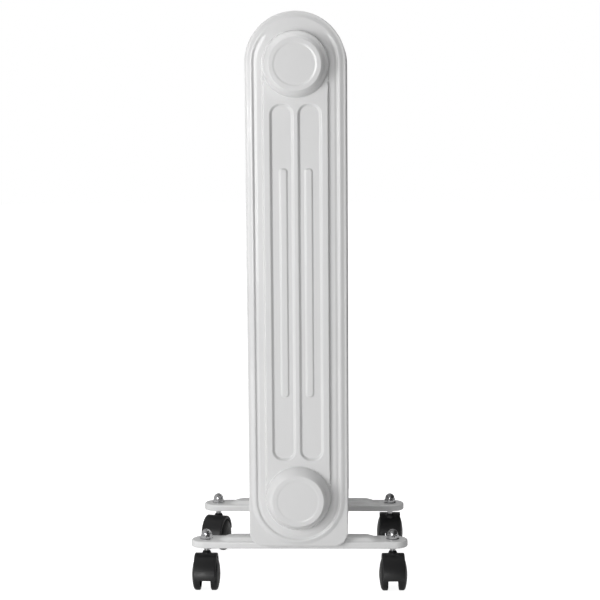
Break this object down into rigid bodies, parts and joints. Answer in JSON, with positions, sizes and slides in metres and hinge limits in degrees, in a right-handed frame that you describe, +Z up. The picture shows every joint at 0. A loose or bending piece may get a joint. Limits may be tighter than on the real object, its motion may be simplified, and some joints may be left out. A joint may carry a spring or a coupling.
{
  "type": "oil filled radiator heater",
  "caption": "Upright oil filled radiator with pressed white fins, foot bars on swivel casters and a control housing at one end.",
  "frame": {"origin": "on the floor, under the middle of the heater", "axes": "+Z up, +X along the foot bars, +Y along the fin stack towards the control housing"},
  "size_m": [0.2426, 0.321, 0.634],
  "materials": {
    "white_enamel": "gloss white stoved enamel on pressed steel",
    "chrome_plate": "bright plated",
    "zinc_steel": "zinc plated steel",
    "element_steel": "dull tube steel",
    "black_nylon": "fine moulded satin black",
    "wheel_nylon": "smooth moulded black",
    "white_plastic": "moulded white with a light satin",
    "dark_panel": "dark grey with fine texture",
    "knob_plastic": "soft moulded charcoal",
    "brass_shaft": "plain turned",
    "phenolic": "moulded phenolic",
    "switch_black": "gloss black",
    "amber_lens": "clear amber moulding",
    "lamp_glass": "clear glass",
    "gland_rubber": "black moulded rubber",
    "lead_insulation": "silicone insulation"
  },
  "bodies": {
    "root": {"acorn_nuts": "chrome_plate", "cable_gland": "gland_rubber", "caster_stems": "chrome_plate", "control_back_plate": "white_enamel", "control_housing": "white_plastic", "control_panel": "dark_panel", "cord_clamp": "phenolic", "element_flange": "element_steel", "fin_1_front_shell": "white_enamel", "fin_1_rear_shell": "white_enamel", "fin_2_front_shell": "white_enamel", "fin_2_rear_shell": "white_enamel", "fin_3_front_shell": "white_enamel", "fin_3_rear_shell": "white_enamel", "fin_4_front_shell": "white_enamel", "fin_4_rear_shell": "white_enamel", "fin_5_front_shell": "white_enamel", "fin_5_rear_shell": "white_enamel", "fin_6_front_shell": "white_enamel", "fin_6_rear_shell": "white_enamel", "foot_bar_front": "white_enamel", "foot_bar_rear": "white_enamel", "heat_switch_body": "switch_black", "heating_element": "element_steel", "housing_screws": "zinc_steel", "housing_studs": "zinc_steel", "indicator_lens": "amber_lens", "internal_leads": "lead_insulation", "neon_lamp": "lamp_glass", "power_switch_body": "switch_black", "saddles": "zinc_steel", "stud_nuts": "zinc_steel", "terminal_block": "phenolic", "thermal_cutout": "phenolic", "thermostat_body": "phenolic", "thermostat_nut": "zinc_steel", "tip_over_switch": "phenolic", "u_bolt_nuts": "zinc_steel", "u_bolts": "zinc_steel"},
    "caster_front_left": {"hood_front_left": "black_nylon", "axle_front_left": "zinc_steel"},
    "wheel_front_left_outer": {"wheel_front_left_outer": "wheel_nylon"},
    "wheel_front_left_inner": {"wheel_front_left_inner": "wheel_nylon"},
    "caster_front_right": {"hood_front_right": "black_nylon", "axle_front_right": "zinc_steel"},
    "wheel_front_right_outer": {"wheel_front_right_outer": "wheel_nylon"},
    "wheel_front_right_inner": {"wheel_front_right_inner": "wheel_nylon"},
    "caster_rear_left": {"hood_rear_left": "black_nylon", "axle_rear_left": "zinc_steel"},
    "wheel_rear_left_outer": {"wheel_rear_left_outer": "wheel_nylon"},
    "wheel_rear_left_inner": {"wheel_rear_left_inner": "wheel_nylon"},
    "caster_rear_right": {"hood_rear_right": "black_nylon", "axle_rear_right": "zinc_steel"},
    "wheel_rear_right_outer": {"wheel_rear_right_outer": "wheel_nylon"},
    "wheel_rear_right_inner": {"wheel_rear_right_inner": "wheel_nylon"},
    "knob": {"thermostat_knob": "knob_plastic", "thermostat_shaft": "brass_shaft"},
    "power_rocker": {"power_rocker": "switch_black"},
    "heat_rocker": {"heat_rocker": "switch_black"},
    "pendulum": {"tip_over_pendulum": "zinc_steel"}
  },
  "joints": [
    {"name": "swivel_front_left", "type": "hinge", "parent": "root", "child": "caster_front_left", "pos_m": [-0.1035, -0.12025, 0.034], "axis": [0, 0, 1], "continuous": true},
    {"name": "roll_front_left_outer", "type": "hinge", "parent": "caster_front_left", "child": "wheel_front_left_outer", "pos_m": [-0.10364, -0.12825, 0.018], "axis": [0.9998, -0.0175, 0], "continuous": true},
    {"name": "roll_front_left_inner", "type": "hinge", "parent": "caster_front_left", "child": "wheel_front_left_inner", "pos_m": [-0.10364, -0.12825, 0.018], "axis": [0.9998, -0.0175, 0], "continuous": true},
    {"name": "swivel_front_right", "type": "hinge", "parent": "root", "child": "caster_front_right", "pos_m": [0.1035, -0.12025, 0.034], "axis": [0, 0, 1], "continuous": true},
    {"name": "roll_front_right_outer", "type": "hinge", "parent": "caster_front_right", "child": "wheel_front_right_outer", "pos_m": [0.10378, -0.12824, 0.018], "axis": [0.9994, 0.0349, 0], "continuous": true},
    {"name": "roll_front_right_inner", "type": "hinge", "parent": "caster_front_right", "child": "wheel_front_right_inner", "pos_m": [0.10378, -0.12824, 0.018], "axis": [0.9994, 0.0349, 0], "continuous": true},
    {"name": "swivel_rear_left", "type": "hinge", "parent": "root", "child": "caster_rear_left", "pos_m": [-0.1035, 0.04575, 0.034], "axis": [0, 0, 1], "continuous": true},
    {"name": "roll_rear_left_outer", "type": "hinge", "parent": "caster_rear_left", "child": "wheel_rear_left_outer", "pos_m": [-0.10544, 0.03799, 0.018], "axis": [0.9703, -0.2419, 0], "continuous": true},
    {"name": "roll_rear_left_inner", "type": "hinge", "parent": "caster_rear_left", "child": "wheel_rear_left_inner", "pos_m": [-0.10544, 0.03799, 0.018], "axis": [0.9703, -0.2419, 0], "continuous": true},
    {"name": "swivel_rear_right", "type": "hinge", "parent": "root", "child": "caster_rear_right", "pos_m": [0.1035, 0.04575, 0.034], "axis": [0, 0, 1], "continuous": true},
    {"name": "roll_rear_right_outer", "type": "hinge", "parent": "caster_rear_right", "child": "wheel_rear_right_outer", "pos_m": [0.1035, 0.05375, 0.018], "axis": [-1, 0, 0], "continuous": true},
    {"name": "roll_rear_right_inner", "type": "hinge", "parent": "caster_rear_right", "child": "wheel_rear_right_inner", "pos_m": [0.1035, 0.05375, 0.018], "axis": [-1, 0, 0], "continuous": true},
    {"name": "knob_turn", "type": "hinge", "parent": "root", "child": "knob", "pos_m": [0, 0.1455, 0.572], "axis": [0, -1, 0], "range_deg": [0, 270]},
    {"name": "power_rocker_tilt", "type": "hinge", "parent": "root", "child": "power_rocker", "pos_m": [-0.015, 0.1459, 0.503], "axis": [1, 0, 0], "range_deg": [0, 18]},
    {"name": "heat_rocker_tilt", "type": "hinge", "parent": "root", "child": "heat_rocker", "pos_m": [0.015, 0.1459, 0.503], "axis": [1, 0, 0], "range_deg": [0, 18]},
    {"name": "tip_over_swing", "type": "hinge", "parent": "root", "child": "pendulum", "pos_m": [-0.024, 0.1067, 0.262], "axis": [0, 1, 0], "range_deg": [-20, 20]}
  ]
}
